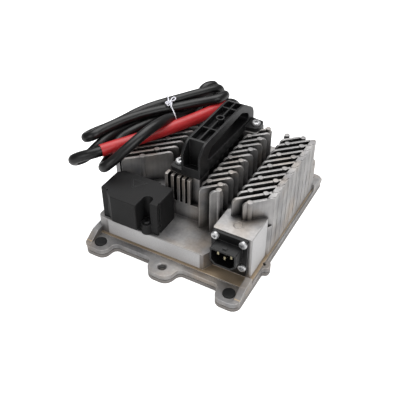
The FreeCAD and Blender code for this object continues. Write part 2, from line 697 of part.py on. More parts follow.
def stud(place):
    x, y = place
    shank = disc(x, y, SHELF_Z - ROOF_T, STUD_TOP, STUD_R)
    top = [e for e in shank.Edges if abs(e.CenterOfMass.z - STUD_TOP) < 1e-6]
    return shank.makeChamfer(0.6, top)


def hexagon(x, y, across, z0, z1):
    r = across / math.sqrt(3)
    points = [(x + r * math.cos(math.radians(60 * k)), y + r * math.sin(math.radians(60 * k)))
              for k in range(6)]
    return prism(points, z0, z1)


def stud_nuts():
    z0 = SHELF_Z + BLOCK_H
    return [hexagon(x, y, 10.0, z0, z0 + 5.0).cut(disc(x, y, z0 - 1, z0 + 6, STUD_R))
            for x, y in stud_places()]


# Carrying handle: a closed loop moulded with a cored and ribbed grip.
def handle_screws():
    sx, sy = HANDLE_SCREW
    return [(-sx, HANDLE_MID_Y - sy), (sx, HANDLE_MID_Y + sy)]


def handle():
    y0, y1 = HANDLE_Y
    half = HANDLE_W / 2
    side = [(y0, HANDLE_SEAT), (y0, 108.5, 7), (y0 + 10.0, HANDLE_TOP, 14),
            (y1 - 27.0, HANDLE_TOP, 28), (y1 - 0.5, 101.5, 16), (y1, HANDLE_SEAT)]
    body = side_prism(side, -half, half)
    window = side_prism(
        [(y0 + 17, RAIL_TOP + 3, 4), (y0 + 17, GRIP_UNDER - 5, 5), (y0 + 24, GRIP_UNDER + 1, 8),
         (y1 - 31.5, GRIP_UNDER + 3, 14), (y1 - 14.5, GRIP_UNDER - 6, 6),
         (y1 - 13.5, RAIL_TOP - 1, 3.5)], -half - 1, half + 1)
    core = HANDLE_W / 2 - HANDLE_WALL
    top = HANDLE_TOP + 1
    grip_front = y0 + 16.0
    grip_rear = y1 - 26.0
    pockets = box(-core, core, grip_front, grip_rear, HANDLE_TOP - CORE_DEPTH, top)
    ribs = [box(-RIB_T / 2, RIB_T / 2, grip_front, grip_rear, HANDLE_TOP - CORE_DEPTH - 1,
                HANDLE_TOP - 1)]
    ribs += [box(-core - 0.5, core + 0.5, HANDLE_MID_Y + k * RIB_PITCH - RIB_T / 2,
                 HANDLE_MID_Y + k * RIB_PITCH + RIB_T / 2, HANDLE_TOP - CORE_DEPTH - 1,
                 HANDLE_TOP - 1) for k in (-1, 1)]
    boss = disc(0, HANDLE_MID_Y, HANDLE_TOP - CORE_DEPTH - 1, HANDLE_TOP, GRIP_BOSS_R)
    front_pocket = box(-core, core, y0 - 1, y0 + 13.5, HANDLE_SEAT + 11, top)
    front_floor = side_prism([(y0 - 1, HANDLE_SEAT + 11), (y0 + 13.5, HANDLE_SEAT + 11),
                              (y0 + 13.5, HANDLE_SEAT + 5), (y0 + 3, HANDLE_SEAT + 9)], -core, core)
    rear_pocket = box(-core, core, y1 - 12, y1 + 1, HANDLE_SEAT + 8, HANDLE_SEAT + 17)
    body = body.cut(Part.makeCompound([window, pockets, front_pocket, rear_pocket]))
    body = body.cut(front_floor)
    foot_top = HANDLE_SEAT + HANDLE_FOOT_T
    front_ear = prism([(-HANDLE_EAR, y0 + 2, 3), (-half + 1, y0, 1), (-half + 1, y0 + 25, 1),
                       (-HANDLE_EAR, y0 + 21, 5)], HANDLE_SEAT, foot_top)
    rear_ear = prism([(half - 1, y1 - 21.5, 1), (HANDLE_EAR, y1 - 19.5, 5), (HANDLE_EAR, y1 - 2, 4),
                      (half - 1, y1, 1)], HANDLE_SEAT, foot_top)
    body = fused([body, front_ear, rear_ear] + ribs + [boss])
    holes = [disc(x, y, HANDLE_SEAT - 1, foot_top + 1, M5["d"] / 2) for x, y in handle_screws()]
    holes.append(disc(0, HANDLE_MID_Y, HANDLE_TOP - CORE_DEPTH, top, GRIP_BOSS_R - 1.5))
    return body.cut(Part.makeCompound(holes)).removeSplitter()


def handle_screw_set():
    screw = pan_screw(M5, HANDLE_FOOT_T + 13)
    return [placed(screw, x, y, HANDLE_SEAT + HANDLE_FOOT_T) for x, y in handle_screws()]


# Electronics on the board inside
def board():
    x, y, t = BOARD
    sheet = prism(rectangle(-x / 2, x / 2, BOARD_Y - y / 2, BOARD_Y + y / 2, 3), BOARD_Z, BOARD_Z + t)
    holes = [disc(px, py, BOARD_Z - 1, BOARD_Z + t + 1, M3["d"] / 2) for px, py in board_holes()]
    return sheet.cut(Part.makeCompound(holes))


def board_holes():
    return [(px, BOARD_Y + py) for px, py in corners(BOARD[0] / 2 - 7, BOARD[1] / 2 - 7)]


def board_standoffs():
    return [disc(x, y, PLATE_T, BOARD_Z, STANDOFF_R).cut(disc(x, y, PLATE_T + 3, BOARD_Z + 1,
                                                              M3["d"] / 2))
            for x, y in board_holes()]


def board_screws():
    screw = pan_screw(M3, BOARD[2] + 6)
    return [placed(screw, x, y, BOARD_Z + BOARD[2]) for x, y in board_holes()]


BOARD_TOP = BOARD_Z + BOARD[2]


def transformer_core():
    outer = box(-18, 18, 0, 34, BOARD_TOP + 1.5, BOARD_TOP + 25)
    windows = [box(-13, -7, -1, 35, BOARD_TOP + 6, BOARD_TOP + 20.5),
               box(7, 13, -1, 35, BOARD_TOP + 6, BOARD_TOP + 20.5)]
    return outer.cut(Part.makeCompound(windows)).multiFuse(transformer_feet())


def transformer_winding():
    outer = prism(rectangle(-12.8, 12.8, -5, 39, 6), BOARD_TOP + 6.2, BOARD_TOP + 20.3)
    return outer.cut(box(-7.2, 7.2, -0.2, 34.2, BOARD_TOP, BOARD_TOP + 30))


def transformer_feet():
    return [box(sx * 16 - 2, sx * 16 + 2, 14, 20, BOARD_TOP, BOARD_TOP + 1.5) for sx in (-1, 1)]


def output_choke():
    ring = Part.makeTorus(12, 5.5, Vector(45, 18, BOARD_TOP + 5.5))
    return ring


def bulk_capacitors():
    cans = []
    for x, y in ((-55, -10), (-55, 16), (-55, 42)):
        can = disc(x, y, BOARD_TOP, BOARD_TOP + 26, 11)
        top = [e for e in can.Edges if abs(e.CenterOfMass.z - BOARD_TOP - 26) < 1e-6]
        cans.append(can.makeFillet(1.5, top))
    return cans


ROOF_IN = FLOOR_Z - ROOF_T


def thermal_pad():
    return box(30, 66, 45, 72, ROOF_IN - 0.5, ROOF_IN)


def power_transistors():
    return [box(x, x + 15, 48, 69, ROOF_IN - 5.5, ROOF_IN - 0.5) for x in (31, 49.5)]


# Lead glands in the rear wall: a nut on the wall and a moulded elbow that points up.
def lead_gland(x):
    wall = BODY_Y / 2
    corner = wall + GLAND_OUT
    nut = hexagon(0, 0, GLAND_NUT[0], 0, GLAND_NUT[1])
    nut.rotate(Vector(0, 0, 0), Vector(1, 0, 0), -90)
    nut.translate(Vector(x, wall, GLAND_Z))
    neck = rod_y(x, GLAND_Z, wall - WALL - 3, wall + 1, GLAND_NECK_R)
    arm = rod_y(x, GLAND_Z, wall + 1, corner, BOOT_R)
    knee = Part.makeSphere(BOOT_R, Vector(x, corner, GLAND_Z))
    boot = Part.makeCone(BOOT_R, LEAD_D / 2 + BOOT_WALL, BOOT_L, Vector(x, corner, GLAND_Z))
    bore = disc(x, corner, GLAND_Z + BOOT_R, GLAND_Z + BOOT_L + 1, LEAD_D / 2)
    return fused([nut, neck, arm, knee, boot]).cut(bore)


# The edges of a route: straight runs joined by tangent arcs.
def route_edges(name, points):
    points = [Vector(*p) for p in points]
    edges = []
    start = points[0]
    radii = []
    for i in range(1, len(points) - 1):
        a = points[i - 1] - points[i]
        b = points[i + 1] - points[i]
        turn = math.pi - a.getAngle(b)
        reach = 0.45 * min(a.Length, b.Length)
        radius = reach / math.tan(turn / 2)
        radii.append(round(radius, 1))
        p0 = points[i] + a.normalize() * reach
        p1 = points[i] + b.normalize() * reach
        toward = ((p0 + p1) * 0.5 - points[i]).normalize()
        middle = points[i] + toward * (radius / math.cos(turn / 2) - radius)
        edges.append(Part.LineSegment(start, p0).toShape())
        edges.append(Part.Arc(p0, middle, p1).toShape())
        start = p1
    edges.append(Part.LineSegment(start, points[-1]).toShape())
    print(name, "radii", radii)
    return edges


# A round tube along those edges, with its volume set against section times length.
def lead_tube(name, edges, radius):
    path = Part.Wire(edges)
    start = edges[0].firstVertex().Point
    heading = edges[0].tangentAt(edges[0].FirstParameter)
    ring = Part.Wire(Part.makeCircle(radius, start, heading))
    tube = path.makePipeShell([ring], True, True, 0)
    expected = math.pi * radius ** 2 * path.Length
    print(name, "length", round(path.Length, 1), "volume ratio", round(tube.Volume / expected, 4))
    return tube


HANK_Z = FIN_TOP + POST_RISE + LEAD_SEAT
HANK_TOP = HANK_Z + HANK_HEIGHT
HANK_MID_Z = HANK_Z + HANK_HEIGHT / 2


# Turns a shape drawn across (X) and along (Y) the hank into its place on the fins.
def on_hank(shape):
    shape.rotate(Vector(0, 0, 0), Vector(0, 0, 1), -HANK_ANGLE)
    shape.translate(Vector(HANK_MID[0], HANK_MID[1], 0))
    return shape


# The wound turns of both leads, as the closed outer shape of the hank.
def lead_hank():
    front, rear = HANK_ENDS
    plan = [(HANK_FRONT[0], front, HANK_FRONT[2]), (HANK_FRONT[1], front, HANK_FRONT[2]),
            (HANK_REAR[1], rear, HANK_REAR[2]), (HANK_REAR[0], rear, HANK_REAR[2])]
    body = prism(plan, HANK_Z, HANK_TOP)
    rims = [e for e in body.Edges if abs(e.CenterOfMass.z - HANK_Z) < 1e-6
            or abs(e.CenterOfMass.z - HANK_TOP) < 1e-6]
    return on_hank(body.makeFillet(HANK_HEIGHT * 0.42, rims))


# Edge of the hank, across, at a distance along it.
def hank_side(side, along):
    share = (along - HANK_ENDS[0]) / (HANK_ENDS[1] - HANK_ENDS[0])
    return HANK_FRONT[side] + (HANK_REAR[side] - HANK_FRONT[side]) * share


# Twist tie: a wire round the middle of the hank, with a twisted knot on top.
def hank_tie():
    left = hank_side(0, TIE_ALONG) - TIE_GAP
    right = hank_side(1, TIE_ALONG) + TIE_GAP
    z0 = HANK_Z - 0.1
    z1 = HANK_TOP + TIE_GAP
    ends = (TIE_ALONG - TIE_W / 2, TIE_ALONG + TIE_W / 2)
    outer = front_prism([(left - TIE_T, z0 - 0.1, 5), (right + TIE_T, z0 - 0.1, 5),
                         (right + TIE_T, z1 + TIE_T, 8), (left - TIE_T, z1 + TIE_T, 8)], *ends)
    inner = front_prism([(left, z0, 4), (right, z0, 4), (right, z1, 7), (left, z1, 7)],
                        ends[0] - 1, ends[1] + 1)
    knot = Part.makeCylinder(TIE_W, 9.0, Vector(-2, TIE_ALONG - 4, z1 + TIE_W), Vector(0.5, 1, 0.25))
    return on_hank(fused([outer.cut(inner), knot]))


def positive_edges():
    return route_edges("positive_end", POSITIVE_END)


def positive_lead_end():
    return lead_tube("positive_lead_end", positive_edges(), LEAD_D / 2).cut(lead_hank())


# Loose red sleeve round the middle stretch of that lead.
def red_sleeve():
    edges = positive_edges()[8:19]
    outer = lead_tube("red_sleeve", edges, LEAD_D / 2 + SLEEVE_WALL)
    return outer.cut(lead_tube("red_sleeve_bore", edges, LEAD_D / 2))


def lead_feed(x):
    y = BODY_Y / 2 + GLAND_OUT
    return disc(x, y, GLAND_Z + BOOT_R, HANK_MID_Z, LEAD_D / 2).cut(lead_hank())


def positive_lead_loop():
    edges = route_edges("positive_loop", POSITIVE_LOOP)
    return lead_tube("positive_lead_loop", edges, LEAD_D / 2).cut(lead_hank())


def negative_lead_end():
    x, y, z = NEGATIVE_END
    return disc(x, y, z, HANK_MID_Z, LEAD_D / 2).cut(lead_hank())


# Ring terminal crimped on a lead's end, hanging straight down from a place.
def ring_terminal(place):
    x, y, z = place
    barrel_r, barrel_l = LUG_BARREL
    width, thick, offset = LUG_PALM
    barrel = disc(x, y, z - barrel_l, z, barrel_r)
    bottom = z - barrel_l
    palm = front_prism([(x - barrel_r, bottom + 4), (x - width / 2, bottom - 3, 3),
                        (x - width / 2, bottom - offset - width / 2, width / 2 - 0.1),
                        (x + width / 2, bottom - offset - width / 2, width / 2 - 0.1),
                        (x + width / 2, bottom - 3, 3), (x + barrel_r, bottom + 4)],
                       y - thick / 2, y + thick / 2)
    hole = rod_y(x, bottom - offset, y - thick, y + thick, LUG_BOLT_R)
    return fused([barrel, palm]).cut(hole)


# Bare name plates: one on the front wall, one on the right wall of the inlet block.
def front_label():
    x0, x1, z0, z1 = FRONT_LABEL
    wall = -BODY_Y / 2
    return front_prism(rectangle(x0, x1, z0, z1, 1.0), wall - LABEL_T, wall)


def side_label():
    y0, y1, z0, z1 = SIDE_LABEL
    return side_prism(rectangle(y0, y1, z0, z1, 1.0), BLOCK_X[1], BLOCK_X[1] + LABEL_T)


def write(name, shapes):
    if not isinstance(shapes, list):
        shapes = [shapes]
    solids = [s for shape in shapes for s in shape.Solids]
    result = solids[0] if len(solids) == 1 else Part.makeCompound(solids)
    if not result.isValid():
        print("NOT VALID", name)
    result.exportStep("parts/" + name + ".step")


def main():
    write("housing", housing())
    write("base_plate", base_plate())
    write("base_gasket", base_gasket())
    write("base_screws", base_screws())
    write("foot_plugs", foot_plugs())
    write("inlet_body", inlet_body())
    write("inlet_gasket", inlet_gasket())
    for name, place in zip(("line_pin", "earth_pin", "neutral_pin"), pin_places()):
        write(name, pin(place[0], place[1], 0.0))
    write("inlet_screws", inlet_screws())
    write("terminal_cover", terminal_cover())
    write("cover_screw", cover_screw())
    write("terminal_block", terminal_block())
    for name, place in zip(("negative_stud", "positive_stud"), stud_places()):
        write(name, stud(place))
    write("stud_nuts", stud_nuts())
    write("handle", handle())
    write("handle_screws", handle_screw_set())
    write("circuit_board", board())
    write("board_standoffs", board_standoffs())
    write("board_screws", board_screws())
    write("transformer_core", transformer_core())
    write("transformer_winding", transformer_winding())
    write("output_choke", output_choke())
    write("bulk_capacitors", bulk_capacitors())
    write("thermal_pad", thermal_pad())
    write("power_transistors", power_transistors())
    for pole, x in GLAND_X.items():
        write(pole + "_gland", lead_gland(x))
        write(pole + "_lead_feed", lead_feed(x))
    write("lead_hank", lead_hank())
    write("hank_tie", hank_tie())
    write("positive_lead_loop", positive_lead_loop())
    write("positive_lead_end", positive_lead_end())
    write("red_sleeve", red_sleeve())
    write("positive_terminal", ring_terminal(POSITIVE_END[-1]))
    write("negative_lead_end", negative_lead_end())
    write("negative_terminal", ring_terminal(NEGATIVE_END))
    write("front_label", front_label())
    write("side_label", side_label())


main()
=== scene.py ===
import bmesh
import bpy
import math
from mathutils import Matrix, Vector


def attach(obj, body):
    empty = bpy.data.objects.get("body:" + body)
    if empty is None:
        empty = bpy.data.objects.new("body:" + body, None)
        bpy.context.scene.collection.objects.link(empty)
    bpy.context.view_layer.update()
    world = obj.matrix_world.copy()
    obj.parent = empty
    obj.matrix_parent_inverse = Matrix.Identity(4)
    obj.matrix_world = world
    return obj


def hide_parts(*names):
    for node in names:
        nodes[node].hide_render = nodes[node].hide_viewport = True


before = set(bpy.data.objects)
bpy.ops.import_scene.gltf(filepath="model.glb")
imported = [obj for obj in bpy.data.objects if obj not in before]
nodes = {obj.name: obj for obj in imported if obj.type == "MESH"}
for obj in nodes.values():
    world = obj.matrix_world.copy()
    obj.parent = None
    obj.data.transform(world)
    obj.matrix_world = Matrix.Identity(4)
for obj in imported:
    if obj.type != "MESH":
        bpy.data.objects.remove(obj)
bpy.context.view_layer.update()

# Camera: a short tele lens from the front right, looking down on the charger. Its place
# is in mm and its angles are in degrees.
MM = 0.001
CAMERA_PLACE = (246.3, -472.5, 456.9)
CAMERA_TILT = 50.75
CAMERA_HEADING = 28.86
CAMERA_LENS = 56.1

scene = bpy.context.scene
camera = bpy.data.objects.new("camera", bpy.data.cameras.new("camera"))
camera.location = Vector(CAMERA_PLACE) * MM
camera.rotation_euler = (math.radians(CAMERA_TILT), 0, math.radians(CAMERA_HEADING))
camera.data.lens = CAMERA_LENS
scene.collection.objects.link(camera)
scene.camera = camera


# Housing: one aluminium pressure die casting with its fins, posts, feet and inlet block,
# shot-tumbled and left bare. Its outer wall carries a ridge below each fin end, and the
# inlet block has the round mark of an ejector pin.
FIN_TOP = 82.7
FIN_PITCH = 11.5
FIN_ANGLE = math.radians(43.5)
FIRST_RIDGE_Y = -33.8
RIDGES = 10
WALL_X = 86.5
WALL_T = 6.0
RIDGE_HALF = 1.5
RIDGE_OUT = 0.75
RIDGE_FOOT = 13.0
RIDGE_SINK = 0.4
RIDGE_BEND = 0.3
RIDGE_CORNERS = 4
# Down the wall: how far below the fin top, then the shares of the ridge's width and height.
RIDGE_TAPER = ((4, 1.0, 1.0), (24, 0.9, 0.9), (48, 0.75, 0.7), (FIN_TOP - RIDGE_FOOT, 0.6, 0.2))
SKIRT_TOP = 11.6
EJECTOR = (63.6, -64.6, 62.1)
EJECTOR_R = 4.6
EJECTOR_STEPS = 48
# Across the mark's ring: how far out from its radius, and how high.
EJECTOR_PROFILE = ((-0.9, -0.05), (-0.4, 0.4), (0.4, 0.4), (0.9, -0.05))


# Turns an sRGB hex colour to linear light.
def linear(hex_colour):
    channels = [int(hex_colour[i:i + 2], 16) / 255 for i in (1, 3, 5)]
    return [c / 12.92 if c <= 0.04045 else ((c + 0.055) / 1.055) ** 2.4 for c in channels] + [1.0]


# Adds one shader node with its settings and its links.
def node(tree, kind, inputs=None, **settings):
    made = tree.nodes.new(kind)
    for key, value in settings.items():
        setattr(made, key, value)
    for key, value in (inputs or {}).items():
        if isinstance(value, bpy.types.NodeSocket):
            tree.links.new(value, made.inputs[key])
        else:
            made.inputs[key].default_value = value
    return made


# A finish: its shader with the constant values, and the place on the surface in metres.
def finish(name, roughness, metallic=0.0, ior=1.5):
    material = bpy.data.materials.new(name)
    material.use_nodes = True
    tree = material.node_tree
    shader = tree.nodes["Principled BSDF"]
    shader.inputs["Roughness"].default_value = roughness
    shader.inputs["Metallic"].default_value = metallic
    shader.inputs["IOR"].default_value = ior
    place = node(tree, "ShaderNodeTexCoord").outputs["Object"]
    return material, tree, shader, place


# Gives every slot of some CAD pieces one finish.
def dress(material, *pieces):
    for piece in pieces:
        for part_slot in nodes[piece].material_slots:
            part_slot.material = material


# A low rounded ridge along a path, pressed into what it stands on by its lower half.
def cast_ridge(builder, path, across, out):
    rings = []
    for spot, side, lift in path:
        turns = [math.pi * corner / RIDGE_CORNERS for corner in range(RIDGE_CORNERS + 1)]
        rings.append([builder.verts.new((spot + side * (across * math.cos(turn))
                                         + lift * (out * math.sin(turn))) * MM) for turn in turns])
    for first, second in zip(rings, rings[1:]):
        for here in range(RIDGE_CORNERS):
            builder.faces.new((first[here], first[here + 1], second[here + 1], second[here]))
        builder.faces.new((first[-1], first[0], second[0], second[-1]))
    builder.faces.new(rings[0])
    builder.faces.new(list(reversed(rings[-1])))


ridge_mesh = bpy.data.meshes.new("wall_ridges")
builder = bmesh.new()
fin_way = Vector((math.cos(FIN_ANGLE), math.sin(FIN_ANGLE), 0))
fin_side = Vector((-math.sin(FIN_ANGLE), math.cos(FIN_ANGLE), 0))
along_wall, up, outward = Vector((0, 1, 0)), Vector((0, 0, 1)), Vector((1, 0, 0))
for index in range(RIDGES):
    corner = Vector((WALL_X, FIRST_RIDGE_Y + index * FIN_PITCH, FIN_TOP))
    inner = corner - fin_way * (WALL_T / math.cos(FIN_ANGLE))
    path = [
        (inner - up * RIDGE_SINK, fin_side, up),
        (inner.lerp(corner, 0.7), (fin_side + along_wall) / 2, up),
        (corner - (up + outward) * RIDGE_BEND, along_wall, (up + outward).normalized()),
    ]
    path += [(corner - up * drop, along_wall * width, outward * rise) for drop, width, rise in RIDGE_TAPER]
    cast_ridge(builder, path, RIDGE_HALF, RIDGE_OUT)
bmesh.ops.recalc_face_normals(builder, faces=builder.faces)
builder.to_mesh(ridge_mesh)
builder.free()
wall_ridges = bpy.data.objects.new("wall_ridges", ridge_mesh)

ring_mesh = bpy.data.meshes.new("ejector_mark")
builder = bmesh.new()
rings = []
for index in range(EJECTOR_STEPS):
    turn = 2 * math.pi * index / EJECTOR_STEPS
    out = Vector((math.cos(turn), math.sin(turn), 0))
    rings.append([builder.verts.new((Vector(EJECTOR) + out * (EJECTOR_R + spread) + up * rise) * MM)
                  for spread, rise in EJECTOR_PROFILE])
for ring, following in zip(rings, rings[1:] + rings[:1]):
    for here in range(len(ring)):
        builder.faces.new((ring[here - 1], ring[here], following[here], following[here - 1]))
bmesh.ops.recalc_face_normals(builder, faces=builder.faces)
builder.to_mesh(ring_mesh)
builder.free()
ejector_mark = bpy.data.objects.new("ejector_mark", ring_mesh)

# Aluminium, die cast: warm grey with cloudy flow marks, fine streaks down its upright
# faces, tan and blue stains of the release agent, painted shade in the gaps, a painted
# highlight in a thin band at the skirt top, and bright edges that are partly bare metal and
# partly painted highlight.
# Its pits are well under a millimetre wide and are drawn at 1.3 mm so that they show.
cast, tree, shader, place = finish("aluminium_die_cast", roughness=0.45, metallic=0.75)
cloud = node(tree, "ShaderNodeTexNoise", {"Vector": place, "Scale": 1 / (26 * MM), "Detail": 4.0})
clouded = node(tree, "ShaderNodeMapRange", {"Value": cloud.outputs["Fac"], "From Min": 0.35,
               "From Max": 0.68})
tone = node(tree, "ShaderNodeMix", {0: clouded.outputs[0], 6: linear("#848384"), 7: linear("#b1afae")},
            data_type="RGBA")
tan_noise = node(tree, "ShaderNodeTexNoise", {"Vector": place, "Scale": 1 / (38 * MM), "Detail": 3.0})
tan_spots = node(tree, "ShaderNodeMapRange", {"Value": tan_noise.outputs["Fac"], "From Min": 0.48,
                 "From Max": 0.72, "To Max": 0.4})
tanned = node(tree, "ShaderNodeMix", {0: tan_spots.outputs[0], 6: tone.outputs[2], 7: linear("#a68f72")},
              data_type="RGBA")
blue_place = node(tree, "ShaderNodeMapping", {"Vector": place, "Location": (0.3, 0.1, 0.2)})
blue_noise = node(tree, "ShaderNodeTexNoise", {"Vector": blue_place.outputs[0], "Scale": 1 / (16 * MM),
                  "Detail": 4.0})
blue_spots = node(tree, "ShaderNodeMapRange", {"Value": blue_noise.outputs["Fac"], "From Min": 0.55,
                  "From Max": 0.75, "To Max": 0.25})
blued = node(tree, "ShaderNodeMix", {0: blue_spots.outputs[0], 6: tanned.outputs[2],
             7: linear("#6f7381")}, data_type="RGBA")
streak_place = node(tree, "ShaderNodeMapping", {"Vector": place, "Scale": (1.0, 1.0, 0.05)})
streak = node(tree, "ShaderNodeTexNoise", {"Vector": streak_place.outputs[0], "Scale": 1 / (2.6 * MM),
              "Detail": 4.0})
streak_tone = node(tree, "ShaderNodeMapRange", {"Value": streak.outputs["Fac"], "From Min": 0.3,
                   "From Max": 0.7, "To Min": 0.9, "To Max": 1.09})
streaked = node(tree, "ShaderNodeVectorMath", {0: blued.outputs[2], "Scale": streak_tone.outputs[0]},
                operation="SCALE")
height = node(tree, "ShaderNodeSeparateXYZ", {"Vector": place}).outputs["Z"]
# Painted highlight: a thin pale tan band at the height of the skirt top stands in for the light caught
# along the ledge there.
on_skirt = node(tree, "ShaderNodeMath", {0: height, 1: SKIRT_TOP * MM, 2: 0.25 * MM},
                operation="COMPARE")
ledge_highlight_share = node(tree, "ShaderNodeMath", {0: on_skirt.outputs[0], 1: 0.75}, operation="MULTIPLY")
ledge_highlight = node(tree, "ShaderNodeMix", {0: ledge_highlight_share.outputs[0], 6: streaked.outputs[0],
             7: linear("#d0b795")}, data_type="RGBA")
# Edges, found with a rounded normal, are lightened to near white: partly bare metal worn there and partly
# a painted highlight. Edges in hollows are lightened less.
rounded = node(tree, "ShaderNodeBevel", {"Radius": 1.0 * MM}, samples=6)
surface = node(tree, "ShaderNodeNewGeometry")
sameness = node(tree, "ShaderNodeVectorMath", {0: rounded.outputs[0], 1: surface.outputs["Normal"]},
                operation="DOT_PRODUCT")
edge_wear_and_highlight = node(tree, "ShaderNodeMapRange", {"Value": sameness.outputs["Value"], "From Min": 0.985,
            "From Max": 0.88, "To Max": 0.6})
cavity = node(tree, "ShaderNodeAmbientOcclusion", {"Distance": 14 * MM}, samples=8, only_local=True)
open_edge_wear_and_highlight = node(tree, "ShaderNodeMath", {0: edge_wear_and_highlight.outputs[0], 1: cavity.outputs["AO"]},
                 operation="MULTIPLY")
bare_and_highlit_edges = node(tree, "ShaderNodeMix", {0: open_edge_wear_and_highlight.outputs[0], 6: ledge_highlight.outputs[2], 7: linear("#e0dedb")},
            data_type="RGBA")
# Painted shade: hollows and the gaps between the fins are darkened towards near black, at most by 0.4
# below 20 mm height and by up to 0.97 above 45 mm.
gap_shade_limit = node(tree, "ShaderNodeMapRange", {"Value": height, "From Min": 20 * MM, "From Max": 45 * MM,
               "To Min": 0.4, "To Max": 0.97})
gap_shade = node(tree, "ShaderNodeMapRange", {"Value": cavity.outputs["AO"], "From Min": 0.84,
            "From Max": 0.45, "To Max": gap_shade_limit.outputs[0]})
gap_shaded = node(tree, "ShaderNodeMix", {0: gap_shade.outputs[0], 6: bare_and_highlit_edges.outputs[2], 7: linear("#101011")},
              data_type="RGBA")
tree.links.new(gap_shaded.outputs[2], shader.inputs["Base Color"])
shine = node(tree, "ShaderNodeMapRange", {"Value": cloud.outputs["Fac"], "To Min": 0.36, "To Max": 0.62})
tree.links.new(shine.outputs[0], shader.inputs["Roughness"])
pits = node(tree, "ShaderNodeTexNoise", {"Vector": place, "Scale": 1 / (1.3 * MM), "Detail": 4.0})
relief = node(tree, "ShaderNodeBump", {"Height": pits.outputs["Fac"], "Strength": 0.3,
              "Distance": 0.3 * MM, "Normal": rounded.outputs[0]})
tree.links.new(relief.outputs[0], shader.inputs["Normal"])
dress(cast, "housing")
for piece in (wall_ridges, ejector_mark):
    scene.collection.objects.link(piece)
    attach(piece, "root")
    piece.data.materials.append(cast)
    for face in piece.data.polygons:
        face.use_smooth = True


# Electronics, seen only with the base plate off: a green fibreglass board, dull sintered
# ferrite, shiny enamelled copper wire, cans in dark blue shrunk sleeves, a pale silicone
# pad and black epoxy packages. Each row gives shades, roughness and metallic.
INNER_PIECES = {
    "fibreglass_laminated_board": (("#1d5a34", "#27703f"), 0.45, 0.0, ("circuit_board",)),
    "ferrite_sintered": (("#2b2b2d", "#3d3d40"), 0.6, 0.0, ("transformer_core",)),
    "copper_enamelled_wire": (("#8f4a22", "#b8672f"), 0.3, 0.7,
                              ("transformer_winding", "output_choke")),
    "pvc_shrunk_can_sleeve": (("#1b2238", "#26304d"), 0.3, 0.0, ("bulk_capacitors",)),
    "silicone_calendered_pad": (("#7d8894", "#9aa5b1"), 0.7, 0.0, ("thermal_pad",)),
    "epoxy_moulded_package": (("#1c1c1c", "#2a2a2a"), 0.5, 0.0, ("power_transistors",)),
}


# A finish whose colour drifts from one shade to another in patches of a size in mm.
def mottled(name, shades, patch, roughness, metallic=0.0, ior=1.5, detail=2.0):
    material, tree, shader, place = finish(name, roughness, metallic, ior)
    patches = node(tree, "ShaderNodeTexNoise", {"Vector": place, "Scale": 1 / (patch * MM),
                   "Detail": detail})
    shade = node(tree, "ShaderNodeMix", {0: patches.outputs["Fac"], 6: linear(shades[0]),
                 7: linear(shades[1])}, data_type="RGBA")
    tree.links.new(shade.outputs[2], shader.inputs["Base Color"])
    return material, tree, shader, place, patches.outputs["Fac"]


for name, (shades, roughness, metallic, members) in INNER_PIECES.items():
    inner_finish, *_ = mottled(name, shades, patch=4, roughness=roughness, metallic=metallic)
    dress(inner_finish, *members)


# Inlet pins, terminal studs and board standoffs. Brass, machined: pale yellow metal, shiny
# on the pins' rounded tips.
brass, *_ = mottled("brass_machined", ("#6f6a58", "#b5ab8e"), patch=2, roughness=0.25, metallic=0.9)
dress(brass, "line_pin", "earth_pin", "neutral_pin", "negative_stud", "positive_stud",
      "board_standoffs")


# Seals and foot plugs of moulded rubber, glands and inlet of moulded nylon, terminal cover
# of spark-textured ABS, terminal block of phenolic and the handle of glass-filled nylon.
# All are black: what tells them apart is the size of their grain and how they shine.
MOULDING_IOR = 1.4
# Shades, roughness, width of the grain in mm and how deep it looks. The grain is drawn
# coarser than it is so that it shows.
BLACK_MOULDINGS = {
    "rubber_moulded_seal": (("#0d0d0d", "#191919"), 0.65, 0.8, 0.3, ("base_gasket", "inlet_gasket")),
    "rubber_moulded_plug": (("#0e0e0f", "#1a1a1a"), 0.55, 0.9, 0.35, ("foot_plugs",)),
    "nylon_moulded_gland": (("#0c0c0d", "#161617"), 0.42, 0.9, 0.3,
                            ("positive_gland", "negative_gland")),
    "nylon_moulded_inlet": (("#050506", "#0b0b0c"), 0.45, 0.7, 0.3, ("inlet_body",)),
    "abs_spark_textured_cover": (("#050506", "#0c0c0d"), 0.62, 0.9, 0.6, ("terminal_cover",)),
    "phenolic_moulded_block": (("#1d1816", "#2a2421"), 0.5, 0.8, 0.3, ("terminal_block",)),
    "nylon_glass_filled_handle": (("#0a0a0b", "#131314"), 0.42, 0.9, 0.4, ("handle",)),
}
